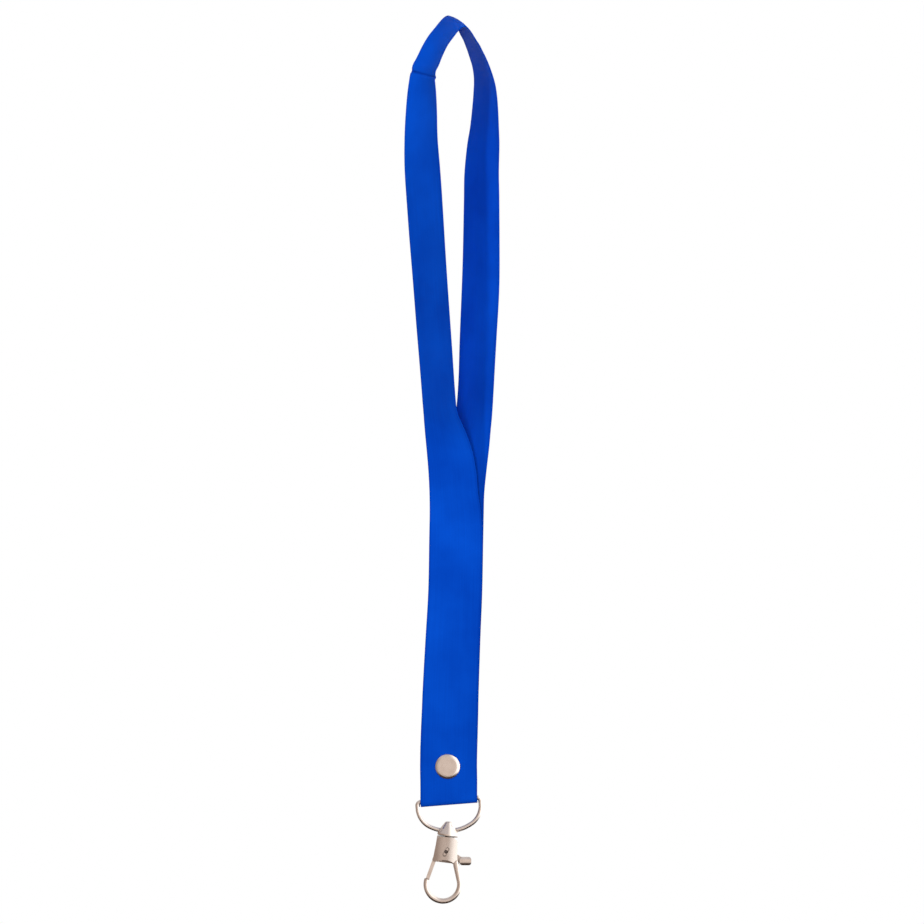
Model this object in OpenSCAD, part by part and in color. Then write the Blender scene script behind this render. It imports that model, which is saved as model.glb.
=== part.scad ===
// Neck lanyard: one long satin ribbon, folded over a D-ring and held by a double cap rivet,
// with a swivelling snap hook below. It hangs from the top of its neck loop, which is the
// origin. +Z is up and the front faces -Y. Millimetres and degrees.

/* [Ribbon] */
// Width of the ribbon
strap_w = 25; // [22:0.5:25]
// Thickness of one layer of ribbon
strap_t = 0.55; // [0.4:0.05:0.6]
// Length of the folded tails above the ring's bar
tail_l = 24; // [21:1:30]

/* [Rivet] */
// Diameter of the front cap
front_cap_d = 11.2; // [9:0.2:12]
// Diameter of the rear cap
rear_cap_d = 10; // [9:0.2:12]
// Height of a cap
cap_h = 1.5; // [1.3:0.1:2]
// Outer diameter of the rivet's tube
tube_d = 3; // [2.6:0.1:3.4]

/* [D-ring] */
// Diameter of the ring's wire
wire_d = 2; // [1.8:0.1:2.1]
// Depth of the ring, from its bar to its bottom arc
ring_depth = 13.6; // [13:0.1:15]
// Radius of the ring's bottom arc
bottom_r = 18; // [17:0.5:20]

/* [Swivel eye] */
// Diameter of the eye's round base
eye_d = 9.4; // [9:0.1:10]
// Height of the eye above the middle of the ring's wire
eye_top = 4.1; // [3.8:0.1:5]
// Diameter of the swivel's stem
stem_d = 2.2; // [2:0.1:2.4]

/* [Hook] */
// Thickness of the hook's body at its foot
body_t = 5; // [4.8:0.1:5.6]
// Thickness of the hook's body at its neck
neck_t = 8.8; // [8.4:0.1:9.2]
// Inner radius of the hook's bowl
bowl_r = 6.2; // [6:0.1:6.4]
// Width of the hook's wire in the bowl
hook_w = 2.3; // [2.1:0.1:2.5]
// Depth of the hook's wire, front to back
hook_t = 3.5; // [3.2:0.1:3.8]
// Diameter of the gate's pivot pin
pin_d = 1.6; // [1.4:0.1:1.8]
// Thickness of the gate lever
lever_t = 1.5; // [1.3:0.1:1.6]

/* [Hidden] */
$fn = 48;

BLUE = [0.0, 0.28, 0.72];
NICKEL = [0.80, 0.77, 0.74];
DARK_NICKEL = [0.62, 0.59, 0.56];

// ---- clearances ----
layer_gap = 0.1;                    // between two layers of ribbon
bar_gap = 0.1;                      // between the ring's bar and the ribbon round it
side_gap = 0.35;                    // between the ribbon's edge and the ring's side
run_gap = 0.05;                     // round a part that turns
fixed_gap = 0.02;                   // round a part that is fixed
eye_gap = 0.22;                     // between the ring's wire and the eye's throat
over = 1;                           // how far a cutter passes the face it cuts

// ---- places ----
ring_tilt = 4.5;                    // the ring's right end is this much higher
clip_tilt = 5.5;                    // the hook's foot hangs this much to the left
bar_at = [-3.8, 0, -341.4];         // middle of the ring's bar
rivet_at = [-4.3, 0, -326.7];       // middle of the rivet, halfway through the ribbon

wire_r = wire_d / 2;
layer_step = strap_t + layer_gap;   // from the middle of one layer to the next
inner_wrap = wire_r + bar_gap + strap_t / 2;
outer_wrap = inner_wrap + layer_step;
stack_y = 1.5 * layer_step + strap_t / 2;       // half of the four layers at the rivet
ring_half = strap_w / 2 + side_gap + wire_r;    // from the ring's middle to its side
arc_up = bottom_r - ring_depth;                 // the bottom arc's centre, above the bar
// The hook hangs at the lowest point of the ring's bottom arc.
eye_at = bar_at + [-arc_up * sin(ring_tilt), 0, arc_up * cos(ring_tilt) - bottom_r];

// ---- ribbon ----
// Both layers below the fork: [x, z, twist, lean, y of the front layer].
// twist turns the ribbon's width about the vertical, lean lifts its right edge.
below_fork = [
    [-3.8, -337.5, 0, 4.5, -2.45 * layer_step],
    [-3.8, -333, 0, 3.5, -1.7 * layer_step],
    [-3.9, -326.7, 0, 2.5, -1.5 * layer_step],
    [-3.8, -320, 0, 1, -1.45 * layer_step],
    [-3.6, -312, 4, 0, -1.1 * layer_step],
    [-3.3, -302, 9, 0, -0.7 * layer_step],
    [-3, -292, 12, 0, -0.5 * layer_step],
    [-2.1, -271, 17, 0, -0.5 * layer_step],
    [-1.1, -250, 20, 0, -0.5 * layer_step],
    [-0.7, -229, 20, 0, -0.5 * layer_step]
];
// The neck loop: [x, y, z, twist, lean]. Its left side has a crease, where it turns sharply.
left_side = [
    [-0.9, -0.7, -216, 25, 0],
    [-1.6, -1.1, -207, 31, 0],
    [-2.3, -1.3, -197, 33, 0],
    [-3.6, -1.6, -187.5, 37.5, 0],
    [-5.5, -2.1, -179, 45.5, 0],
    [-7.3, -2.4, -172, 53, 0],
    [-8.3, -2.7, -163, 54, 0],
    [-10.3, -3.3, -138, 53, 0],
    [-12.1, -4, -111, 53, 0],
    [-14.1, -4.6, -85, 52, 0],
    [-15.4, -4.9, -66, 51.5, -1.5],
    [-15.9, -5, -52, 54, -3],
    [-15.7, -4.9, -40, 56, -5],
    [-15.5, -4.8, -31, 59, -8]
];
crease = [[-15.3, -4.5, -23.3, 64, -11]];
top_left = [
    [-10.8, -3, -12.4, 68, -14],
    [-6.7, -1.8, -5.8, 71, -15.5]
];
crown = [[-0.3, 0, strap_t / 2, 73, -16]];
right_side = [
    [5.3, 2.6, -7.3, 74, -11],
    [7.5, 3.9, -11.6, 73.5, -10],
    [9.3, 4.9, -16, 72.5, -9],
    [10.8, 5.8, -20.5, 71.5, -9],
    [11.8, 6.4, -25.5, 69.5, -8],
    [12.1, 6.8, -30.5, 67, -7],
    [12.1, 7.1, -36.5, 64.5, -6],
    [11.8, 7.3, -46, 60.5, -5],
    [11.3, 7.2, -54, 56, -3],
    [10.7, 7, -66, 53, -1],
    [10.7, 6.6, -78, 51.5, 0],
    [10.4, 5.8, -98, 50, 0],
    [10, 5, -118, 49, 0],
    [9.2, 4.2, -138, 50.5, 0],
    [8.3, 3.4, -157, 52, 0],
    [7.1, 2.9, -172, 50.5, 0],
    [5.7, 2.5, -179, 45.5, 0],
    [3.9, 1.9, -188, 38, 0],
    [2.3, 1.5, -197, 33, 0],
    [1.1, 1.2, -207, 31, 0],
    [0.2, 0.8, -216, 25, 0]
];
CUTS = 4;                           // rings between two stations
WRAP_STEPS = 14;                    // rings round the bar

function flipped(list) = [for (i = [len(list) - 1:-1:0]) list[i]];
// The front layer is number 0 and the rear one number 1, one step behind it.
function layer(number) = [for (s = below_fork)
    [s.x + number * layer_step * sin(s[2]), s[4] + number * layer_step * cos(s[2]),
     s.y, s[2], s[3]]];
function between(a, b, c, d, u) = 0.5 * (2 * b + (c - a) * u
    + (2 * a - 5 * b + 4 * c - d) * u * u + (3 * b - a - 3 * c + d) * u * u * u);
// A smooth line through stations, without its last one.
function smooth_line(p) = [for (i = [0:len(p) - 2], k = [0:CUTS - 1])
    between(p[max(i - 1, 0)], p[i], p[i + 1], p[min(i + 2, len(p) - 1)], k / CUTS)];
// Round the bar from its back to its front.
function wrap(r) = [for (i = [0:WRAP_STEPS])
    let (a = 180 * i / WRAP_STEPS)
    [bar_at.x + r * sin(a) * sin(ring_tilt), r * cos(a), bar_at.z - r * sin(a) * cos(ring_tilt),
     0, ring_tilt]];
// Behind the strap, from a free end down to just above the bar. number counts the layers
// outwards, from the strap's middle.
function tail(number, r) = smooth_line([
    [-3.8, (number - 0.5) * layer_step, bar_at.z + tail_l, 0, 1],
    [-3.9, (number - 0.5) * layer_step, rivet_at.z, 0, 2.5],
    [-3.8, (number - 0.3) * layer_step, -333, 0, 3.5],
    [-3.8, (number + 0.45) * layer_step, -337.5, 0, 4.5],
    [bar_at.x, r, bar_at.z, 0, ring_tilt]]);

outer_turn = wrap(outer_wrap);
inner_turn = flipped(wrap(inner_wrap));
ribbon_line = concat(
    tail(2, outer_wrap),
    [for (i = [0:WRAP_STEPS - 1]) outer_turn[i]],
    smooth_line(concat([outer_turn[WRAP_STEPS]], layer(0), left_side, crease)),
    smooth_line(concat(crease, top_left, crown, right_side, flipped(layer(1)), [inner_turn[0]])),
    inner_turn,
    flipped(tail(1, inner_wrap)));

function unit(v) = v / norm(v);
function place(s) = [s.x, s.y, s.z];
function across(s) = [cos(s[4]) * cos(s[3]), -cos(s[4]) * sin(s[3]), sin(s[4])];
// The four corners of the ribbon's section at a station.
function section(i) =
    let (last = len(ribbon_line) - 1,
         along = place(ribbon_line[min(i + 1, last)]) - place(ribbon_line[max(i - 1, 0)]),
         side = across(ribbon_line[i]) * strap_w / 2,
         face = unit(cross(along, side)) * strap_t / 2,
         middle = place(ribbon_line[i]))
    [middle - side - face, middle + side - face, middle + side + face, middle - side + face];

// Triangles round a tube of rings that have n corners each, with both ends closed.
function tube_faces(n, rings) = concat(
    [for (i = [0:rings - 2], k = [0:n - 1], half = [0, 1])
        let (a = n * i + k,
             b = n * i + (k + 1) % n)
        half == 0 ? [a, b, b + n] : [a, b + n, a + n]],
    [for (k = [1:n - 2]) [0, k + 1, k]],
    [for (k = [1:n - 2], last = n * (rings - 1)) [last, last + k, last + k + 1]]);

module ribbon() {
    rings = len(ribbon_line);
    points = [for (i = [0:rings - 1]) each section(i)];
    polyhedron(points, tube_faces(4, rings), convexity = 10);
}

module strap() {
    color(BLUE)
    difference() {
        ribbon();
        translate(rivet_at)
        rotate([90, 0, 0])
        cylinder(d = tube_d + 2 * run_gap, h = 3 * tube_d, center = true);
    }
}

// ---- rivet: two pressed caps, a tube with a flange and a stud with a flange ----
sheet_t = 0.3;                      // pressed metal
rivet_gap = 0.12;                   // the ribbon swells a little round the rivet
flange_y = stack_y + rivet_gap;     // where the metal meets the ribbon
flange_in = 0.1;                    // a flange's edge, inside the cap's rim

// Puts a part on the rivet's axis, with its own +Z towards the front or the back.
module on_rivet(front) {
    translate(rivet_at)
    rotate([front ? 90 : -90, 0, 0])
    translate([0, 0, flange_y])
    children();
}

module cap_solid(r, h) {
    flat_r = 0.62 * r;
    wall_h = 0.25 * h;
    rotate_extrude()
    polygon(concat([[0, 0], [r, 0]],
        [for (a = [0:15:90]) [flat_r + (r - flat_r) * cos(a), wall_h + (h - wall_h) * sin(a)]],
        [[0, h]]));
}

module cap(d) {
    difference() {
        cap_solid(d / 2, cap_h);
        translate([0, 0, -fixed_gap])
        cap_solid(d / 2 - sheet_t, cap_h - sheet_t);
    }
}

module flange(d) {
    translate([0, 0, fixed_gap])
    cylinder(r = d / 2 - sheet_t - flange_in, h = sheet_t);
}

module rivet_front_cap() {
    color(NICKEL) on_rivet(true) cap(front_cap_d);
}

module rivet_rear_cap() {
    color(NICKEL) on_rivet(false) cap(rear_cap_d);
}

module rivet_tube() {
    color(DARK_NICKEL)
    on_rivet(true)
    difference() {
        union() {
            flange(front_cap_d);
            translate([0, 0, -2 * flange_y + sheet_t])
            cylinder(d = tube_d, h = 2 * flange_y);
        }
        translate([0, 0, -2 * flange_y - over])
        cylinder(d = tube_d - 2 * sheet_t, h = 2 * flange_y + over);
    }
}

module rivet_stud() {
    color(DARK_NICKEL)
    on_rivet(false) {
        flange(rear_cap_d);
        translate([0, 0, -1.8 * flange_y])
        cylinder(d = tube_d - 2 * sheet_t - 2 * run_gap, h = 1.8 * flange_y + sheet_t);
    }
}

// ---- D-ring ----
shoulder_r = 9.5;                   // middle line of the two rounded shoulders
corner_r = 1.5;                     // middle line of the bends beside the bar
shoulder_x = ring_half - shoulder_r;
shoulder_z = arc_up - sqrt(pow(bottom_r - shoulder_r, 2) - pow(shoulder_x, 2));
arc_half = asin(shoulder_x / (bottom_r - shoulder_r));

bar_lap = 0.3;                      // how far the bent wire runs into the bar
bar_extra = 0.02;                   // the bar is a little thicker than the bent wire
WIRE_SIDES = 20;

// Points of a round bend in the XZ plane, from one angle to another about a centre.
function bend(x, z, r, from, to, steps) = [for (i = [0:steps])
    let (a = from + (to - from) * i / steps)
    [x + r * cos(a), 0, z + r * sin(a)]];
function mirrored(line) = [for (p = flipped(line)) [-p.x, p.y, p.z]];

// Half of the ring's bent wire, from the bar's end to its bottom.
half_ring = concat(
    [[ring_half - corner_r - bar_lap, 0, 0]],
    bend(ring_half - corner_r, -corner_r, corner_r, 90, 0, 6),
    bend(shoulder_x, shoulder_z, shoulder_r, 0, arc_half - 90, 14),
    [for (k = [1:6]) bend(0, arc_up, bottom_r, arc_half - 90, -90, 6)[k]]);
ring_line = concat(half_ring, [for (i = [1:len(half_ring) - 1]) mirrored(half_ring)[i]]);

// One ring of corners round a wire that runs in the XZ plane, or nearly so.
function wire_ring(line, i, d, sides) =
    let (last = len(line) - 1,
         along = unit(line[min(i + 1, last)] - line[max(i - 1, 0)]),
         side = unit(cross(along, [0, 1, 0])),
         up = cross(side, along))
    [for (k = [0:sides - 1])
        let (a = 360 * k / sides)
        line[i] + d / 2 * (cos(a) * side + sin(a) * up)];

module wire(line, d, sides) {
    rings = len(line);
    points = [for (i = [0:rings - 1]) each wire_ring(line, i, d, sides)];
    polyhedron(points, tube_faces(sides, rings), convexity = 6);
}

module d_ring() {
    color(NICKEL)
    translate(bar_at)
    rotate([0, -ring_tilt, 0]) {
        wire(ring_line, wire_d, WIRE_SIDES);
        rotate([0, 90, 0])
        cylinder(d = wire_d + bar_extra, h = 2 * (ring_half - corner_r), center = true);
    }
}

// ---- swivel eye and hook, drawn on the hook's own axis with the ring's wire at zero ----
throat_r = wire_r + eye_gap;
throat_flare = 20;                  // the throat opens out along this arc
base_t = 0.7;                       // metal below the throat
base_low = -throat_r - base_t;
neck_gap = 0.5;                     // between the eye's base and the hook
neck_top = base_low - neck_gap;
neck_wall = 2;                      // round the stem
stem_head_d = 3.3;
stem_head_h = 0.8;
head_top = neck_top - neck_wall - run_gap;

module on_clip() {
    translate(eye_at)
    rotate([0, clip_tilt, 0])
    children();
}

// The bell's outline, with a short flat top, a long flank and a rounded foot.
module eye_outline() {
    foot = eye_d / 2;
    polygon([[0, eye_top], [1.1, eye_top], [1.6, eye_top - 0.3], [2, eye_top - 0.9],
        [foot - 1.1, 0.9], [foot - 0.3, -0.5], [foot, -1.1], [foot, base_low + 0.2],
        [foot - 0.2, base_low], [0, base_low]]);
}

module throat() {
    rotate([0, -clip_tilt, 0])
    rotate([0, 90, 0]) {
        cylinder(r = throat_r + run_gap, h = 2 * wire_r, center = true);
        rotate_extrude()
        difference() {
            translate([0, -eye_d])
            square([2 * throat_r, 2 * eye_d]);
            translate([throat_r + throat_flare, 0])
            circle(r = throat_flare, $fn = 192);
        }
    }
}

module swivel_eye() {
    color(NICKEL)
    on_clip() {
        difference() {
            rotate_extrude()
            eye_outline();
            throat();
        }
        translate([0, 0, head_top - stem_head_h])
        cylinder(d = stem_head_d, h = stem_head_h);
        translate([0, 0, head_top - stem_head_h / 2])
        cylinder(d = stem_d, h = base_low - head_top + stem_head_h / 2 + base_t / 2);
    }
}

// ---- hook ----
pivot = [0, -9];                    // the gate's pin
bowl_at = [0, -23.5];               // middle of the bowl
bowl_mid = bowl_r + hook_w / 2;
arm_angle = 17;                     // where the shank joins the bowl
nose_angle = 167;                   // where the nose ends
dome_r = 10;                        // curve of the body's two faces, from side to side
body_foot = -14;                    // where the body is body_t thick
round_r = 4.9;                      // the body's top is round
round_flare = 0.45;                 // and widens this much per millimetre
slot_front = 1;                     // the lever's slot, in front of the middle
slot_back = 1.7;                    // and behind it, with room for the spring
slot_roof = -6.4;
slot_foot = -12.6;                  // where the slot narrows, beside the shank
shank_left = 2.9;
passage = [-15, 1];                 // the tab's way through the shank: foot and half width
lap = 0.1;                          // how far the shank runs into the bowl's wire
lip_t = 0.6;                        // the nose's outer lip, which stops the gate
stake_depth = 1.1;                  // the staked slot over the pin's front end
seat_depth = 0.15;                  // the seat of the pin's rear head

module rounded_wire() {
    for (s = [-1, 1])
        translate([0, s * (hook_t - hook_w) / 2])
        circle(d = hook_w, $fn = 32);
    square([hook_w, hook_t - hook_w], center = true);
}

// The bowl's wire, from the shank round the bottom to the nose.
module bowl() {
    translate([bowl_at.x, 0, bowl_at.y])
    rotate([90, 0, 0])
    rotate([0, 0, nose_angle])
    rotate_extrude(angle = 360 + arm_angle - nose_angle, $fn = 96)
    translate([bowl_mid, 0])
    rounded_wire();
}

// The shank, wide at the body and as wide as the wire at the bowl.
module shank() {
    hull() {
        translate([bowl_at.x + bowl_mid * cos(arm_angle), 0, bowl_at.y + bowl_mid * sin(arm_angle)])
        rotate([0, -arm_angle, 0])
        translate([0, 0, -lap])
        linear_extrude(height = lap)
        rounded_wire();
        for (y = [-0.6, 0.6], x = [4.6, 4.9])
            translate([x, y, -13.4])
            sphere(d = 2.6, $fn = 24);
    }
}

// The body's front outline, one half at a time.
module body_outline() {
    polygon([[-4.5, neck_top], [4.5, neck_top], [4.8, -6.9], [5.3, -11.6], [5.9, -13.2],
        [5.9, -13.7], [5.6, -14.1], [4, -14.3], [3, -13.9], [-5.2, -13.7], [-5.6, -13.4],
        [-5.65, -13], [-5.3, -11.6], [-4.8, -6.9]]);
}

// The body's side outline, with its two lower edges bevelled.
module side_outline() {
    polygon([[-6, neck_top], [-6, -9.1], [-1.4, -14.1], [-1.4, -15], [1.4, -15], [1.4, -14.1],
        [6, -9.1], [6, neck_top]]);
}

face_slope = atan((neck_t - body_t) / 2 / (neck_top - body_foot));
// Half of the body's thickness at a height.
function half_body(z) = neck_t / 2 - (neck_top - z) * tan(face_slope);

module body() {
    intersection() {
        rotate([90, 0, 0])
        linear_extrude(height = 2 * neck_t, center = true)
        body_outline();
        rotate([90, 0, 90])
        linear_extrude(height = 2 * neck_t, center = true)
        side_outline();
        for_face(1);
        for_face(-1);
        translate([0, 0, neck_top - 20])
        cylinder(r1 = round_r + 20 * round_flare, r2 = round_r, h = 20);
    }
}

// A wide leaning cylinder whose near side is the body's curved face.
module for_face(side) {
    translate([0, -side * neck_t / 2, neck_top])
    rotate([side * face_slope, 0, 0])
    translate([0, side * dome_r, -20])
    cylinder(r = dome_r, h = 30, $fn = 192);
}

// A slot with round ends between two points of a drawing.
module bar_2d(a, b, w) {
    translate(a)
    circle(d = w);
    translate(b)
    circle(d = w);
    translate(a)
    rotate([0, 0, atan2(b.y - a.y, b.x - a.x)])
    translate([0, -w / 2])
    square([norm(b - a), w]);
}

// The lever's slot, open on both sides and below, but narrow where the shank begins.
module slot_cut() {
    wide = 2 * eye_d;
    depth = slot_front + slot_back;
    translate([-wide, -slot_front, slot_foot])
    cube([2 * wide, depth, slot_roof - slot_foot]);
    translate([-wide, -slot_front, passage[0]])
    cube([wide + shank_left, depth, slot_foot - passage[0] + over]);
    translate([0, -passage[1], passage[0]])
    cube([wide, 2 * passage[1], slot_foot - passage[0] + over]);
}

module hook_body() {
    color(NICKEL)
    on_clip()
    difference() {
        union() {
            body();
            shank();
            bowl();
        }
        slot_cut();
        // the stem's bore and the room for its head
        translate([0, 0, head_top - over])
        cylinder(d = stem_d + 2 * run_gap, h = 2 * neck_wall + over);
        translate([0, 0, slot_roof - over])
        cylinder(d = stem_head_d + 6 * run_gap, h = head_top + run_gap - slot_roof + over);
        // the pin's bore, the staked slot in front and the seat of the pin's head behind
        translate([pivot.x, 0, pivot.y])
        rotate([90, 0, 0]) {
            cylinder(d = pin_d + 2 * fixed_gap, h = 2 * body_t, center = true);
            translate([0, 0, half_body(pivot.y) - stake_depth])
            linear_extrude(height = stake_depth + over)
            rotate([0, 0, -24])
            bar_2d([0, -1.4], [0, 1.4], 1.7);
            translate([0, 0, -half_body(pivot.y) - over])
            cylinder(d = pin_d + 1.6, h = over + seat_depth);
        }
        // the nose's groove for the gate's tip, open to the inside
        translate([bowl_at.x - bowl_r - hook_w + lip_t, -lever_t / 2 - 0.2, bowl_at.y + 0.5])
        cube([hook_w, lever_t + 0.4, hook_w]);
    }
}

module pivot_pin() {
    seat = seat_depth - fixed_gap - half_body(pivot.y);
    color(DARK_NICKEL)
    on_clip()
    translate([pivot.x, 0, pivot.y])
    rotate([90, 0, 0]) {
        translate([0, 0, seat - 0.3])
        cylinder(d = pin_d, h = half_body(pivot.y) - stake_depth - 0.1 - (seat - 0.3));
        translate([0, 0, seat - 0.5])
        cylinder(d1 = pin_d, d2 = pin_d + 1, h = 0.5);
    }
}

// ---- gate lever: a thin arm that closes the bowl and a tab for the thumb ----
gate_bend = [-4.7, -13];
gate_tip = [-6.9, -21.6];
tab_root = [6, -12];
pad_at = [8.9, -12.4];              // middle of the thumb's pad
pad_size = [5.1, 3.6];
pad_corner = 1.2;
pad_t = 3.2;
pad_dome = 3;                       // curve of the pad's two faces, from top to bottom

// The pad's front outline, level when the hook hangs.
module pad_outline() {
    inner = pad_size - 2 * [pad_corner, pad_corner];
    rotate([0, 0, clip_tilt]) {
        square([pad_size.x, inner.y], center = true);
        square([inner.x, pad_size.y], center = true);
        for (x = [-0.5, 0.5], y = [-0.5, 0.5])
            translate([x * inner.x, y * inner.y])
            circle(r = pad_corner);
    }
}

// A cylinder along the pad whose near side is the pad's curved face.
module for_pad(side) {
    rotate([0, 90, clip_tilt])
    translate([side * (pad_dome - pad_t / 2), 0, 0])
    cylinder(r = pad_dome, h = 2 * pad_size.x, center = true);
}

module pad() {
    translate(pad_at)
    intersection() {
        linear_extrude(height = pad_t, center = true)
        pad_outline();
        for_pad(1);
        for_pad(-1);
    }
}

module gate_lever() {
    color(NICKEL)
    on_clip()
    rotate([90, 0, 0]) {
        linear_extrude(height = lever_t, center = true)
        difference() {
            union() {
                translate(pivot)
                circle(r = 2.1);
                bar_2d(pivot, gate_bend, 1.9);
                bar_2d(gate_bend, gate_tip, 1.6);
                bar_2d(pivot, tab_root, 3);
                bar_2d(tab_root, pad_at, 2.8);
            }
            translate(pivot)
            circle(d = pin_d + 2 * run_gap);
        }
        pad();
    }
}

// ---- torsion spring round the pin, behind the lever ----
spring_wire = 0.34;
spring_r = pin_d / 2 + spring_wire / 2 + 0.12;
spring_y = lever_t / 2 + 0.12 + spring_wire / 2;
spring_turn = 450;                  // degrees of coil
spring_rise = 0.42;                 // from its start to its end
SPRING_STEPS = 30;
SPRING_SIDES = 8;
// From a leg against the slot's roof, round the pin, to a leg behind the lever's tab arm.
spring_line = concat([[-2.6, spring_y, slot_roof - 0.35]],
    [for (i = [0:SPRING_STEPS])
        let (a = 90 - spring_turn * i / SPRING_STEPS)
        [pivot.x + spring_r * cos(a), spring_y + spring_rise * (1 - cos(180 * i / SPRING_STEPS)) / 2,
         pivot.y + spring_r * sin(a)]],
    [[4.2, spring_y + spring_rise, -11.5]]);

module gate_spring() {
    color(DARK_NICKEL)
    on_clip()
    wire(spring_line, spring_wire, SPRING_SIDES);
}

strap();
rivet_front_cap();
rivet_tube();
rivet_rear_cap();
rivet_stud();
d_ring();
swivel_eye();
hook_body();
pivot_pin();
gate_lever();
gate_spring();
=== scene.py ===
"""A neck lanyard: a folded satin ribbon riveted round a D-ring, with a swivelling snap hook.

It hangs from its neck loop in front of a white ground. The hardware is the CAD model's own,
and the ribbon is made here as a fine woven strip along the CAD model's route."""
from math import cos, exp, pi, radians, sin, sqrt

import bmesh
import bpy
from mathutils import Matrix, Vector


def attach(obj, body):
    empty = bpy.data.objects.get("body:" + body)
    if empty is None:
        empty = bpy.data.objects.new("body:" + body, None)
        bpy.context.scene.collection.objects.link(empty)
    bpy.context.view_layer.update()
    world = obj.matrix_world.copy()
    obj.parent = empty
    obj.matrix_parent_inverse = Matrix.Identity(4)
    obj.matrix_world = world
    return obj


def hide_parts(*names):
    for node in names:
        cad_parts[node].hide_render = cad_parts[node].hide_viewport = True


MM = 0.001
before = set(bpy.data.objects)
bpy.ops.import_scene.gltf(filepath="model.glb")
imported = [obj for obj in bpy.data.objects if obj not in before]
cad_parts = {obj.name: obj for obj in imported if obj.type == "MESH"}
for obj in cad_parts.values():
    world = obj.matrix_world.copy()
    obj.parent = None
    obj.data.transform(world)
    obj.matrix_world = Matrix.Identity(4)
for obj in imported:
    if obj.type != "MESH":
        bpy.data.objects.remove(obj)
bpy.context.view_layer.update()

# ---------------------------------------------------------------- sizes from the CAD model
WIDTH = 25 * MM  # of the ribbon
THICK = 0.55 * MM  # of one layer, at its selvedges
LAYER_STEP = 0.65 * MM
WIRE_R = 1.0 * MM  # of the D-ring's wire
BAR_GAP = 0.1 * MM
RING_TILT = radians(4.5)
BAR = Vector((-3.8, 0, -341.4)) * MM
RIVET = Vector((-4.3, 0, -326.7)) * MM
TAIL = 24 * MM  # how far the two tails reach above the bar
HOLE_R = 1.6 * MM  # of the hole that is punched for the rivet
INNER_WRAP = WIRE_R + BAR_GAP + THICK / 2
OUTER_WRAP = INNER_WRAP + LAYER_STEP

# ---------------------------------------------------------------- the ribbon's route
# Below the fork, in mm and degrees: x, z, twist, lean, y of the front layer in layer steps.
BELOW_FORK = [
    (-3.8, -337.5, 0, 4.5, -2.45),
    (-3.8, -333, 0, 3.5, -1.7),
    (-3.9, -326.7, 0, 2.5, -1.5),
    (-3.8, -320, 0, 1, -1.45),
    (-3.6, -312, 4, 0, -1.1),
    (-3.3, -302, 9, 0, -0.7),
    (-3, -292, 12, 0, -0.5),
    (-2.1, -271, 17, 0, -0.5),
    (-1.1, -250, 20, 0, -0.5),
    (-0.7, -229, 20, 0, -0.5),
]
# The neck loop, in mm and degrees: x, y, z, twist, lean and, where the ribbon is cupped, its curl.
LEFT_SIDE = [
    (-0.9, -0.7, -216, 25, 0),
    (-1.6, -1.1, -207, 31, 0),
    (-2.3, -1.3, -197, 33, 0),
    (-3.6, -1.6, -187.5, 37.5, 0),
    (-5.5, -2.1, -179, 45.5, 0),
    (-7.3, -2.4, -172, 53, 0),
    (-8.3, -2.7, -163, 54, 0),
    (-10.3, -3.3, -138, 53, 0),
    (-12.1, -4, -111, 53, 0),
    (-14.1, -4.6, -85, 52, 0),
    (-15.4, -4.9, -66, 51.5, -1.5),
    (-15.9, -5, -52, 54, -3, 3),
    (-15.7, -4.9, -40, 56, -5, 9),
    (-15.5, -4.8, -31, 59, -8, 14),
]
CREASE = [(-15.3, -4.5, -23.3, 64, -11, 17)]  # a sharp turn, where the left side ends
TOP_LEFT = [
    (-10.8, -3, -12.4, 68, -14, 18),
    (-6.7, -1.8, -5.8, 71, -15.5, 10),
]
CROWN = [(-0.3, 0, 0.275, 73, -16, -7)]
RIGHT_SIDE = [
    (5.3, 2.6, -7.3, 74, -11, -3),
    (7.5, 3.9, -11.6, 73.5, -10),
    (9.3, 4.9, -16, 72.5, -9),
    (10.8, 5.8, -20.5, 71.5, -9),
    (11.8, 6.4, -25.5, 69.5, -8),
    (12.1, 6.8, -30.5, 67, -7),
    (12.1, 7.1, -36.5, 64.5, -6),
    (11.8, 7.3, -46, 60.5, -5),
    (11.3, 7.2, -54, 56, -3),
    (10.7, 7, -66, 53, -1),
    (10.7, 6.6, -78, 51.5, 0),
    (10.4, 5.8, -98, 50, 0),
    (10, 5, -118, 49, 0),
    (9.2, 4.2, -138, 50.5, 0),
    (8.3, 3.4, -157, 52, 0),
    (7.1, 2.9, -172, 50.5, 0),
    (5.7, 2.5, -179, 45.5, 0),
    (3.9, 1.9, -188, 38, 0),
    (2.3, 1.5, -197, 33, 0),
    (1.1, 1.2, -207, 31, 0),
    (0.2, 0.8, -216, 25, 0),
]
CUTS = 40  # samples between two stations, before the route is spaced evenly
WRAP_STEPS = 60  # samples round the bar
RING_STEP = 0.9 * MM  # between two rings of the ribbon's mesh
FINE_STEP = 0.2 * MM  # between two of them near the crease
CREASE_REACH = 6 * MM  # how far the fine steps go to each side of it


def station(x, y, z, twist, lean, curl=0):
    """One place on the ribbon's middle line, with its place in metres and its turns in radians."""
    return Vector((x * MM, y * MM, z * MM, radians(twist), radians(lean), radians(curl)))


def layer(number):
    """The front layer is number 0 and the rear one number 1, one step behind it."""
    step = LAYER_STEP / MM
    out = []
    for x, z, twist, lean, y in BELOW_FORK:
        turn = radians(twist)
        to_right = x + number * step * sin(turn)
        to_back = (y + number * cos(turn)) * step
        out.append(station(to_right, to_back, z, twist, lean))
    return out


def tail(number, r):
    """Behind the strap, from a free end down to just above the bar, counting layers outwards."""
    step = LAYER_STEP / MM
    return [
        station(-3.8, (number - 0.5) * step, (BAR.z + TAIL) / MM, 0, 1),
        station(-3.9, (number - 0.5) * step, RIVET.z / MM, 0, 2.5),
        station(-3.8, (number - 0.3) * step, -333, 0, 3.5),
        station(-3.8, (number + 0.45) * step, -337.5, 0, 4.5),
        Vector((BAR.x, r, BAR.z, 0, RING_TILT, 0)),
    ]


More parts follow.
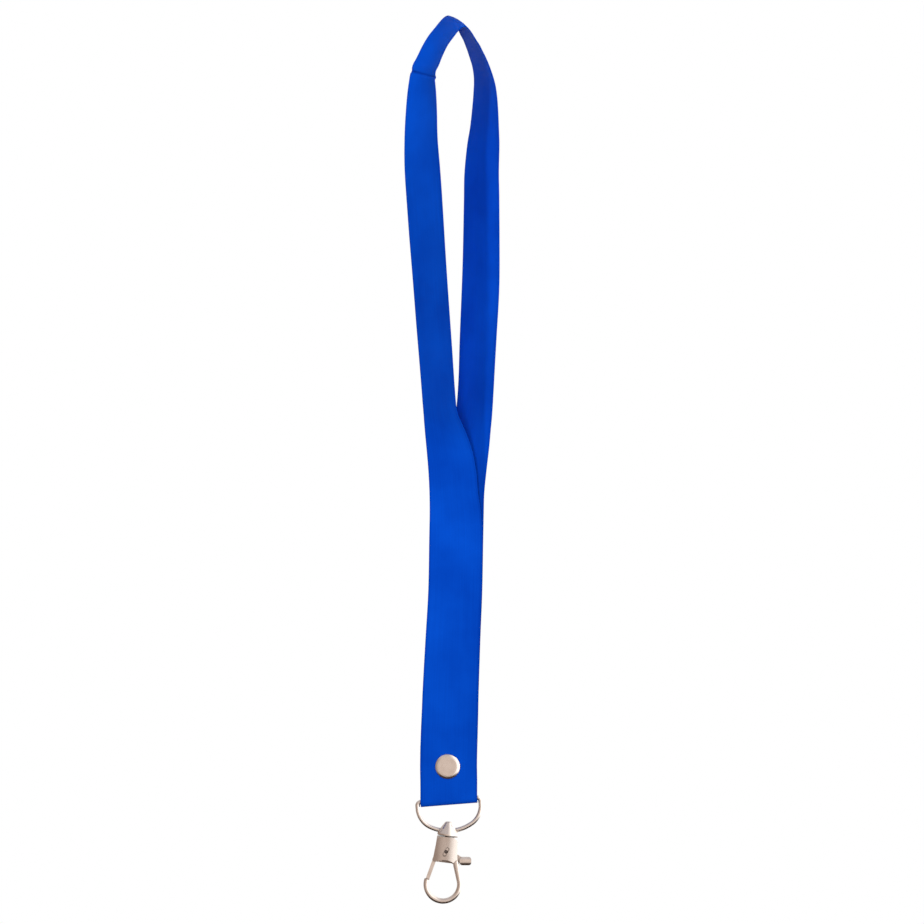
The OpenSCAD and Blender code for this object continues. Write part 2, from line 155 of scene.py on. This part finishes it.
def wrap(r):
    """Round the bar from its back to its front."""
    out = []
    for i in range(WRAP_STEPS + 1):
        a = pi * i / WRAP_STEPS
        down = r * sin(a)
        x = BAR.x + down * sin(RING_TILT)
        z = BAR.z - down * cos(RING_TILT)
        out.append(Vector((x, r * cos(a), z, 0, RING_TILT, 0)))
    return out


def between(a, b, c, d, u):
    """Catmull-Rom between b and c, at u from 0 to 1."""
    line = 2 * b + (c - a) * u
    line += (2 * a - 5 * b + 4 * c - d) * u**2
    line += (3 * b - a - 3 * c + d) * u**3
    return 0.5 * line


def smooth_line(p):
    """A smooth line through stations, without its last one."""
    last = len(p) - 1
    out = []
    for i in range(last):
        a, b, c, d = p[max(i - 1, 0)], p[i], p[i + 1], p[min(i + 2, last)]
        out += [between(a, b, c, d, k / CUTS) for k in range(CUTS)]
    return out


def apart(a, b):
    """The distance between two stations."""
    return Vector((b[0] - a[0], b[1] - a[1], b[2] - a[2])).length


def paced(line, crease_index):
    """The line with its stations spaced evenly, and finely at the crease. Also their distances
    from the start, and the crease's own distance."""
    far = [0.0]
    for a, b in zip(line, line[1:]):
        far.append(far[-1] + apart(a, b))
    crease = far[crease_index]
    marks = [0.0]
    while marks[-1] < far[-1]:
        near = abs(marks[-1] - crease) < CREASE_REACH
        marks.append(marks[-1] + (FINE_STEP if near else RING_STEP))
    marks[-1] = far[-1]
    out, k = [], 0
    for target in marks:
        while k < len(far) - 2 and far[k + 1] < target:
            k += 1
        u = (target - far[k]) / max(far[k + 1] - far[k], 1e-9)
        out.append(line[k].lerp(line[k + 1], min(u, 1)))
    return out, marks, crease


def ribbon_route():
    """The whole ribbon, from the outer tail's end to the inner tail's end."""
    outer_turn = wrap(OUTER_WRAP)
    inner_turn = wrap(INNER_WRAP)[::-1]
    up = [station(*s) for s in LEFT_SIDE + CREASE]
    over = [station(*s) for s in CREASE + TOP_LEFT + CROWN + RIGHT_SIDE]
    below = smooth_line(tail(2, OUTER_WRAP)) + outer_turn[:-1]
    below += smooth_line([outer_turn[-1]] + layer(0) + up)
    above = smooth_line(over + layer(1)[::-1] + [inner_turn[0]])
    above += inner_turn + smooth_line(tail(1, INNER_WRAP))[::-1]
    return paced(below + above, len(below))


# ---------------------------------------------------------------- the ribbon's mesh
MIDDLE_THICK = 0.46 * MM  # inside the selvedges
SELVEDGE = 0.9 * MM  # width of a selvedge bead
ACROSS = 20  # points from edge to edge on one face
FORK_Z = -218 * MM  # the two layers lie on each other below this
LIES_FLAT, HANGS_FREE = FORK_Z - 12 * MM, FORK_Z + 40 * MM
WAVE, WAVE_LENGTH = 0.12 * MM, 19 * MM  # a slow lean from edge to edge
BELLY, BELLY_LENGTH, BELLY_START = 0.14 * MM, 11 * MM, 2  # a wave that both edges share
CUP = 0.25 * MM  # the middle stands off the edges
VALLEY, VALLEY_REACH = 0.7 * MM, 0.9 * MM  # the crease's groove
PUFF, PUFF_FROM_CREASE, PUFF_REACH = 0.35 * MM, 3.2 * MM, 1.8 * MM  # the fold's rise past it
LEAST_CURL = radians(0.5)  # less counts as flat


def smoothstep(low, high, value):
    """From 0 at low to 1 at high, without a kink."""
    t = min(max((value - low) / (high - low), 0), 1)
    return t * t * (3 - 2 * t)


def edge_steps():
    """Places across the ribbon from -1 to 1, closer together near the selvedges."""
    bead = 2 * SELVEDGE / WIDTH
    near = [0, 0.15, 0.4, 0.7, 1]
    left = [-1 + bead * n for n in near]
    inner = ACROSS - 2 * len(near)
    middle = [-1 + bead + (2 - 2 * bead) * (i + 1) / (inner + 1) for i in range(inner)]
    return left + middle + [-x for x in reversed(left)]


def half_thickness(a):
    """Half of the ribbon's thickness at a place across it: a round bead along each edge."""
    into = (1 - abs(a)) * WIDTH / 2 / SELVEDGE
    if into >= 1:
        return MIDDLE_THICK / 2
    bead = sqrt(max(1 - (1 - 2 * into) ** 2, 0)) if into < 0.5 else 1
    flat = smoothstep(0.5, 1, into)
    return THICK / 2 * bead * (1 - flat) + MIDDLE_THICK / 2 * flat


def swell(middle, a, from_crease):
    """How far the cloth stands off its flat course at a place, towards the loop's inside."""
    free = smoothstep(LIES_FLAT, HANGS_FREE, middle.z)
    wave = WAVE * sin(middle.z / WAVE_LENGTH) * a
    belly = BELLY * sin(middle.z / BELLY_LENGTH + BELLY_START) * a * a
    cup = CUP * (1 - a * a)
    valley = VALLEY * exp(-((from_crease / VALLEY_REACH) ** 2))
    puff = PUFF * exp(-(((from_crease - PUFF_FROM_CREASE) / PUFF_REACH) ** 2))
    return free * (wave + belly + cup) + valley - puff


def section_point(s, a, side, face):
    """A point of the cupped ribbon's middle surface, and that surface's own face direction."""
    curl = s[5]
    if abs(curl) < LEAST_CURL:
        return s.to_3d() + side * (a * WIDTH / 2), face
    r = WIDTH / 2 / curl
    bulge = r * (cos(curl * a) - cos(curl))
    point = s.to_3d() + side * (r * sin(curl * a)) + face * bulge
    return point, face * cos(curl * a) + side * sin(curl * a)


def ring_of(mesh, line, i, marks, crease, steps):
    """One ring of the strip's vertices: along its outer face, and back along its inner face. The
    two faces share their vertex at each selvedge, where the ribbon has no thickness."""
    s = line[i]
    twist, lean = s[3], s[4]
    before, after = line[max(i - 1, 0)], line[min(i + 1, len(line) - 1)]
    along = (after.to_3d() - before.to_3d()).normalized()
    side = Vector((cos(lean) * cos(twist), -cos(lean) * sin(twist), sin(lean)))
    face = along.cross(side).normalized()
    inner, outer = [], []
    for a in steps:
        point, out = section_point(s, a, side, face)
        point += out * swell(s.to_3d(), a, marks[i] - crease)
        half = half_thickness(a)
        if half > 0:
            inner.append(mesh.verts.new(point + out * half))
        outer.append(mesh.verts.new(point - out * half))
    return outer + inner[::-1]


def ribbon():
    """The woven ribbon: one closed strip with beaded edges, and its width and length as UVs."""
    line, marks, crease = ribbon_route()
    steps = edge_steps()
    mesh = bmesh.new()
    uv = mesh.loops.layers.uv.new("ribbon")
    rings = [ring_of(mesh, line, i, marks, crease, steps) for i in range(len(line))]
    count = len(rings[0])
    last_step = len(steps) - 1
    for i, (here, there) in enumerate(zip(rings, rings[1:])):
        for k in range(count):
            n = (k + 1) % count
            f = mesh.faces.new((here[k], here[n], there[n], there[k]))
            f.smooth = True
            for corner, spot, ring in zip(f.loops, (k, k + 1, k + 1, k), (i, i, i + 1, i + 1)):
                across = spot if spot <= last_step else count - spot
                corner[uv].uv = (steps[across] * WIDTH / 2, marks[ring])
    mesh.faces.new(rings[0][::-1])
    mesh.faces.new(rings[-1])
    data = bpy.data.meshes.new("ribbon")
    mesh.normal_update()
    mesh.to_mesh(data)
    mesh.free()
    piece = bpy.data.objects.new("ribbon", data)
    bpy.context.scene.collection.objects.link(piece)
    punch(piece)
    return piece, marks[-1], crease


def punch(piece):
    """Cuts the rivet's hole through the four layers."""
    data = bpy.data.meshes.new("punch")
    tool = bmesh.new()
    bmesh.ops.create_cone(
        tool,
        cap_ends=True,
        segments=32,
        radius1=HOLE_R,
        radius2=HOLE_R,
        depth=8 * MM,
        matrix=Matrix.Translation(RIVET) @ Matrix.Rotation(pi / 2, 4, "X"),
    )
    tool.to_mesh(data)
    tool.free()
    cutter = bpy.data.objects.new("punch", data)
    bpy.context.scene.collection.objects.link(cutter)
    cut = piece.modifiers.new("hole", "BOOLEAN")
    cut.operation = "DIFFERENCE"
    cut.solver = "EXACT"
    cut.object = cutter
    bpy.context.view_layer.objects.active = piece
    piece.select_set(True)
    bpy.ops.object.modifier_apply(modifier=cut.name)
    piece.select_set(False)
    bpy.data.objects.remove(cutter)
    bpy.data.meshes.remove(data)


# ---------------------------------------------------------------- materials
class Nodes:
    """Short calls for building a node tree."""

    def __init__(self, owner):
        owner.use_nodes = True
        self.tree = owner.node_tree
        self.tree.nodes.clear()

    def add(self, kind, **settings):
        node = self.tree.nodes.new(kind)
        for key, value in settings.items():
            setattr(node, key, value)
        return node

    def fill(self, socket, value):
        if isinstance(value, bpy.types.NodeSocket):
            self.tree.links.new(value, socket)
        else:
            socket.default_value = value

    def math(self, operation, a, b=0.0, c=0.0):
        """One step of arithmetic."""
        node = self.add("ShaderNodeMath", operation=operation)
        for socket, value in zip(node.inputs, (a, b, c)):
            self.fill(socket, value)
        return node.outputs[0]

    def noise(self, vector, scale, detail=3, roughness=0.5):
        node = self.add("ShaderNodeTexNoise")
        self.fill(node.inputs["Vector"], vector)
        node.inputs["Scale"].default_value = scale
        node.inputs["Detail"].default_value = detail
        node.inputs["Roughness"].default_value = roughness
        return node.outputs["Fac"]

    def spread(self, value, start, stop, low=0.0, high=1.0):
        """Maps start..stop to low..high, and holds the ends."""
        node = self.add("ShaderNodeMapRange")
        for socket, v in zip(node.inputs, (value, start, stop, low, high)):
            self.fill(socket, v)
        return node.outputs["Result"]

    def blend(self, amount, a, b):
        """Colour a where the amount is 0, and b where it is 1."""
        node = self.add("ShaderNodeMix", data_type="RGBA")
        self.fill(node.inputs[0], amount)
        self.fill(node.inputs[6], a)
        self.fill(node.inputs[7], b)
        return node.outputs[2]

    def bump(self, height, distance, strength=1.0, before=None):
        node = self.add("ShaderNodeBump")
        self.fill(node.inputs["Height"], height)
        node.inputs["Distance"].default_value = distance
        node.inputs["Strength"].default_value = strength
        if before is not None:
            self.fill(node.inputs["Normal"], before)
        return node.outputs["Normal"]

    def axes(self, vector):
        """The vector's X, Y and Z."""
        node = self.add("ShaderNodeSeparateXYZ")
        self.fill(node.inputs[0], vector)
        return node.outputs

    def wave(self, value, length):
        """A sine of that wavelength, from 0 to 1."""
        sine = self.math("SINE", self.math("MULTIPLY", value, 2 * pi / length))
        return self.spread(sine, -1, 1)

    def surface(self, **values):
        """The shader itself, with its sockets' values, and _ for a space in their names."""
        shader = self.add("ShaderNodeBsdfPrincipled")
        for key, value in values.items():
            self.fill(shader.inputs[key.replace("_", " ")], value)
        self.fill(self.add("ShaderNodeOutputMaterial").inputs["Surface"], shader.outputs[0])


def grey(value):
    return (value, value, value, 1)


THREAD = 0.30 * MM  # between two warp threads of the ribbon
PICK = 0.42 * MM  # between two weft threads
BLUE_DEEP = (0.0010, 0.055, 0.50, 1)
BLUE_LIT = (0.0020, 0.085, 0.66, 1)
BLUE_SHADE = (0.0006, 0.030, 0.33, 1)  # the weave's own darker blue between threads and on the selvedges, and painted shade in the crease
CREASE_CORE, CREASE_EDGE = 0.3 * MM, 1.1 * MM  # where the crease's painted shade starts to fade, and where it ends


def satin(crease):
    """Royal blue satin ribbon: long warp floats, tie-down points in a slant, ribbed selvedges
    and painted shade along a pressed crease that far along."""
    material = bpy.data.materials.new("satin_ribbon")
    n = Nodes(material)
    uv = n.add("ShaderNodeUVMap", uv_map="ribbon")
    across, along = n.axes(uv.outputs["UV"])[:2]
    place = n.add("ShaderNodeTexCoord").outputs["Object"]

    warp = n.wave(across, THREAD)
    slant = n.math("ADD", n.math("DIVIDE", along, PICK), n.math("DIVIDE", across, 1.7 * THREAD))
    tie = n.math("POWER", n.wave(slant, 1), 4)
    weft = n.wave(along, PICK)
    edge = n.math("ABSOLUTE", across)
    selvedge = n.spread(edge, WIDTH / 2 - 1.3 * SELVEDGE, WIDTH / 2 - 0.9 * SELVEDGE)
    cloth = n.math("SUBTRACT", warp, n.math("MULTIPLY", tie, 0.55))
    height = n.math("MULTIPLY_ADD", n.math("SUBTRACT", weft, cloth), selvedge, cloth)

    streak = n.add("ShaderNodeCombineXYZ")  # many across the ribbon, long along it
    n.fill(streak.inputs["X"], n.math("MULTIPLY", across, 1800))
    n.fill(streak.inputs["Y"], n.math("MULTIPLY", along, 22))
    streaks = n.noise(streak.outputs[0], 1.0, 3, 0.6)
    clouds = n.noise(place, 38, 3, 0.5)

    tone = n.math("MULTIPLY_ADD", streaks, 0.25, n.math("MULTIPLY", clouds, 0.75))
    colour = n.blend(n.spread(tone, 0.34, 0.66), BLUE_DEEP, BLUE_LIT)
    colour = n.blend(n.math("MULTIPLY", tie, 0.18), colour, BLUE_SHADE)
    colour = n.blend(n.math("MULTIPLY", selvedge, 0.30), colour, BLUE_SHADE)
    # painted shade: the colour darkens towards BLUE_SHADE on the crease's line, and fades out
    # beside it
    from_crease = n.math("ABSOLUTE", n.math("SUBTRACT", along, crease))
    crease_painted_shade = n.spread(from_crease, CREASE_CORE, CREASE_EDGE, 0.75, 0)
    colour = n.blend(crease_painted_shade, colour, BLUE_SHADE)

    rough = n.math("MULTIPLY_ADD", tie, 0.3, n.math("MULTIPLY", streaks, 0.5))
    soft = n.bump(clouds, 0.5 * MM, 0.25)
    n.surface(
        Base_Color=colour,
        Roughness=n.spread(rough, 0, 1, 0.42, 0.62),
        Normal=n.bump(height, 0.03 * MM, 0.7, soft),
        Specular_IOR_Level=0.02,
        Specular_Tint=(0.02, 0.22, 1.0, 1),
        Sheen_Weight=0.12,
        Sheen_Roughness=0.4,
        Sheen_Tint=(0.02, 0.25, 1.0, 1),
    )
    return material


HOLLOW = 0.9 * MM  # how far the metal looks for a wall that makes it a crease
HOLLOW_SHADE_LEVEL = 0.12  # painted shade in creases, as a part of the metal's darker colour
HOLLOW_SHADE_COVER = 0.8  # how much of the metal that painted shade covers, in the tightest crease


def nickel(name, pale, dark, rough, grain, grain_size):
    """Nickel plate: a warm pale metal with fine grain, rubbed streaks, cloudy wear and painted
    shade in its creases. The grain is its depth, and the grain's size how far apart it is."""
    material = bpy.data.materials.new(name)
    n = Nodes(material)
    place = n.add("ShaderNodeTexCoord").outputs["Object"]
    stretch = n.add("ShaderNodeMapping")
    n.fill(stretch.inputs["Vector"], place)
    stretch.inputs["Scale"].default_value = (1.0, 1.0, 0.12)
    clouds = n.noise(place, 180, 4, 0.55)
    fine = n.noise(place, 1 / grain_size, 3, 0.6)
    rubbed = n.noise(stretch.outputs[0], 5200, 2, 0.5)

    # painted shade: the colour darkens where ambient occlusion finds a wall close by, in creases
    # and gaps
    hollow = n.add("ShaderNodeAmbientOcclusion", samples=8)
    hollow.inputs["Distance"].default_value = HOLLOW
    hollow_shade_mask = n.spread(hollow.outputs["AO"], 0.92, 0.50)
    colour = n.blend(n.spread(clouds, 0.3, 0.7), dark, pale)
    hollow_shade_colour = tuple(c * HOLLOW_SHADE_LEVEL for c in dark[:3]) + (1,)
    colour = n.blend(n.math("MULTIPLY", hollow_shade_mask, HOLLOW_SHADE_COVER), colour, hollow_shade_colour)

    wear = n.math("MULTIPLY_ADD", clouds, 0.6, n.math("MULTIPLY", rubbed, 0.4))
    soft = n.bump(fine, grain, 0.6)
    n.surface(
        Base_Color=colour,
        Metallic=1.0,
        Roughness=n.spread(wear, 0.35, 0.65, rough - 0.06, rough + 0.10),
        Normal=n.bump(rubbed, 0.003 * MM, 0.3, soft),
    )
    return material


def dress(name, material):
    """Gives a CAD node its material."""
    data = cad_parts[name].data
    data.materials.clear()
    data.materials.append(material)


# ---------------------------------------------------------------- camera, lights and ground
DISTANCE = 2.0  # from the lens to the lanyard
SEEN_WIDTH = 0.4053  # of the lanyard's plane, from one side of the view to the other
LOOK_AT = Vector((2.0, 0, -193.2)) * MM
FLOOR_Z = -0.45
FLOOR_R = 0.48
CROWN_FRONT = Vector((-13, 0, -12)) * MM
LOOP_FRONT = Vector((0, 0, -185)) * MM


def camera():
    """Straight in front of the lanyard, as the photograph's."""
    data = bpy.data.cameras.new("camera")
    data.sensor_width = 36
    data.lens = data.sensor_width * DISTANCE / SEEN_WIDTH
    eye = bpy.data.objects.new("camera", data)
    eye.location = LOOK_AT - Vector((0, DISTANCE, 0))
    eye.rotation_euler = (pi / 2, 0, 0)
    bpy.context.scene.collection.objects.link(eye)
    bpy.context.scene.camera = eye


def lamp(name, kind, place, target, watts, **settings):
    """A light that faces a target."""
    data = bpy.data.lights.new(name, kind)
    data.energy = watts
    for key, value in settings.items():
        setattr(data, key, value)
    light = bpy.data.objects.new(name, data)
    light.location = place
    light.rotation_euler = (target - Vector(place)).to_track_quat("-Z", "Y").to_euler()
    light.visible_camera = False
    light.visible_glossy = False
    bpy.context.scene.collection.objects.link(light)


def surroundings():
    """A white ground for the camera. The metal mirrors a studio that is warm and dim in front,
    bright at its right and above, and dark below. The cloth takes only a little light from it."""
    world = bpy.data.worlds.new("studio")
    bpy.context.scene.world = world
    n = Nodes(world)
    x, y, z = n.axes(n.add("ShaderNodeTexCoord").outputs["Generated"])
    mirrored = n.blend(n.spread(y, 0.2, 0.8), (0.78, 0.67, 0.61, 1), grey(0.95))
    mirrored = n.blend(n.spread(x, -0.30, -0.75), mirrored, (0.40, 0.32, 0.28, 1))
    mirrored = n.blend(n.spread(z, 0.35, 0.65), mirrored, (0.64, 0.60, 0.61, 1))
    mirrored = n.blend(n.spread(x, 0.15, 0.60), mirrored, (1.9, 1.87, 1.85, 1))
    mirrored = n.blend(n.spread(z, -0.38, -0.60), mirrored, (0.06, 0.042, 0.034, 1))
    soft = n.blend(n.spread(z, -1, 1), grey(0.09), grey(0.19))

    def glow(colour):
        node = n.add("ShaderNodeBackground")
        n.fill(node.inputs["Color"], colour)
        return node.outputs[0]

    def either(choice, no, yes):
        node = n.add("ShaderNodeMixShader")
        for socket, value in zip(node.inputs, (choice, no, yes)):
            n.fill(socket, value)
        return node.outputs[0]

    ray = n.add("ShaderNodeLightPath").outputs
    lit = either(ray["Is Glossy Ray"], glow(soft), glow(mirrored))
    shown = either(ray["Is Camera Ray"], lit, glow(grey(1.0)))
    n.fill(n.add("ShaderNodeOutputWorld").inputs["Surface"], shown)


def ground():
    """A round pale floor below the lanyard, out of the camera's view from the front."""
    mesh = bmesh.new()
    bmesh.ops.create_circle(mesh, cap_ends=True, segments=96, radius=FLOOR_R)
    data = bpy.data.meshes.new("floor")
    mesh.to_mesh(data)
    mesh.free()
    floor = bpy.data.objects.new("floor", data)
    floor.location = (0, 0, FLOOR_Z)
    floor.visible_glossy = False
    floor.visible_diffuse = False
    bpy.context.scene.collection.objects.link(floor)
    pale = bpy.data.materials.new("floor")
    n = Nodes(pale)
    grain = n.noise(n.add("ShaderNodeTexCoord").outputs["Object"], 40)
    n.surface(
        Base_Color=n.blend(grain, grey(0.84), grey(0.90)),
        Roughness=0.7,
        Emission_Color=grey(1.0),
        Emission_Strength=0.15,
    )
    data.materials.append(pale)


def lights():
    """A broad soft light in front and one behind, and two small ones from the left."""
    broad = {"shape": "SQUARE"}
    small = {"spot_blend": 1.0, "shadow_soft_size": 0.05}
    lamp("key", "AREA", (-0.05, -1.60, -0.20), LOOK_AT, 20, size=0.55, **broad)
    lamp("back", "AREA", (0.95, 1.20, 0.25), LOOK_AT, 24, size=0.9, **broad)
    lamp("top_left", "SPOT", (-0.30, -0.24, 0.38), CROWN_FRONT, 26, spot_size=radians(6), **small)
    lamp("left", "SPOT", (-0.45, -0.35, -0.16), LOOP_FRONT, 2.6, spot_size=radians(30), **small)


# ---------------------------------------------------------------- the scene
# The nodes that wear each metal, and its pale and dark colours, roughness, grain and grain size.
METALS = {
    "cast_nickel": (
        ("swivel_eye", "hook_body"),
        ((0.84, 0.76, 0.70, 1), (0.70, 0.62, 0.56, 1), 0.24, 0.008 * MM, 0.35 * MM),
    ),
    "pressed_nickel": (
        ("rivet_front_cap", "rivet_rear_cap", "rivet_tube", "rivet_stud", "gate_lever"),
        ((0.87, 0.80, 0.74, 1), (0.70, 0.62, 0.56, 1), 0.20, 0.006 * MM, 0.5 * MM),
    ),
    "drawn_wire": (
        ("d_ring",),
        ((0.87, 0.81, 0.76, 1), (0.76, 0.70, 0.65, 1), 0.22, 0.006 * MM, 0.2 * MM),
    ),
    "bare_steel": (
        ("gate_spring",),
        ((0.58, 0.53, 0.49, 1), (0.40, 0.36, 0.33, 1), 0.30, 0.008 * MM, 0.15 * MM),
    ),
    # painted shade: the pin is coloured near black to stand in for the shade of the slot it sits
    # in
    "pin_painted_shade": (
        ("pivot_pin",),
        ((0.20, 0.17, 0.16, 1), (0.10, 0.09, 0.08, 1), 0.45, 0.008 * MM, 0.15 * MM),
    ),
}

# Colours as they are, with no film curve, so that the ground stays white.
bpy.context.scene.view_settings.view_transform = "Standard"
camera()
surroundings()
ground()
lights()

cloth, cloth_length, crease_at = ribbon()
cloth.data.materials.append(satin(crease_at))
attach(cloth, "strap")
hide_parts("strap")

for name, (nodes, look) in METALS.items():
    metal = nickel(name, *look)
    for node in nodes:
        dress(node, metal)
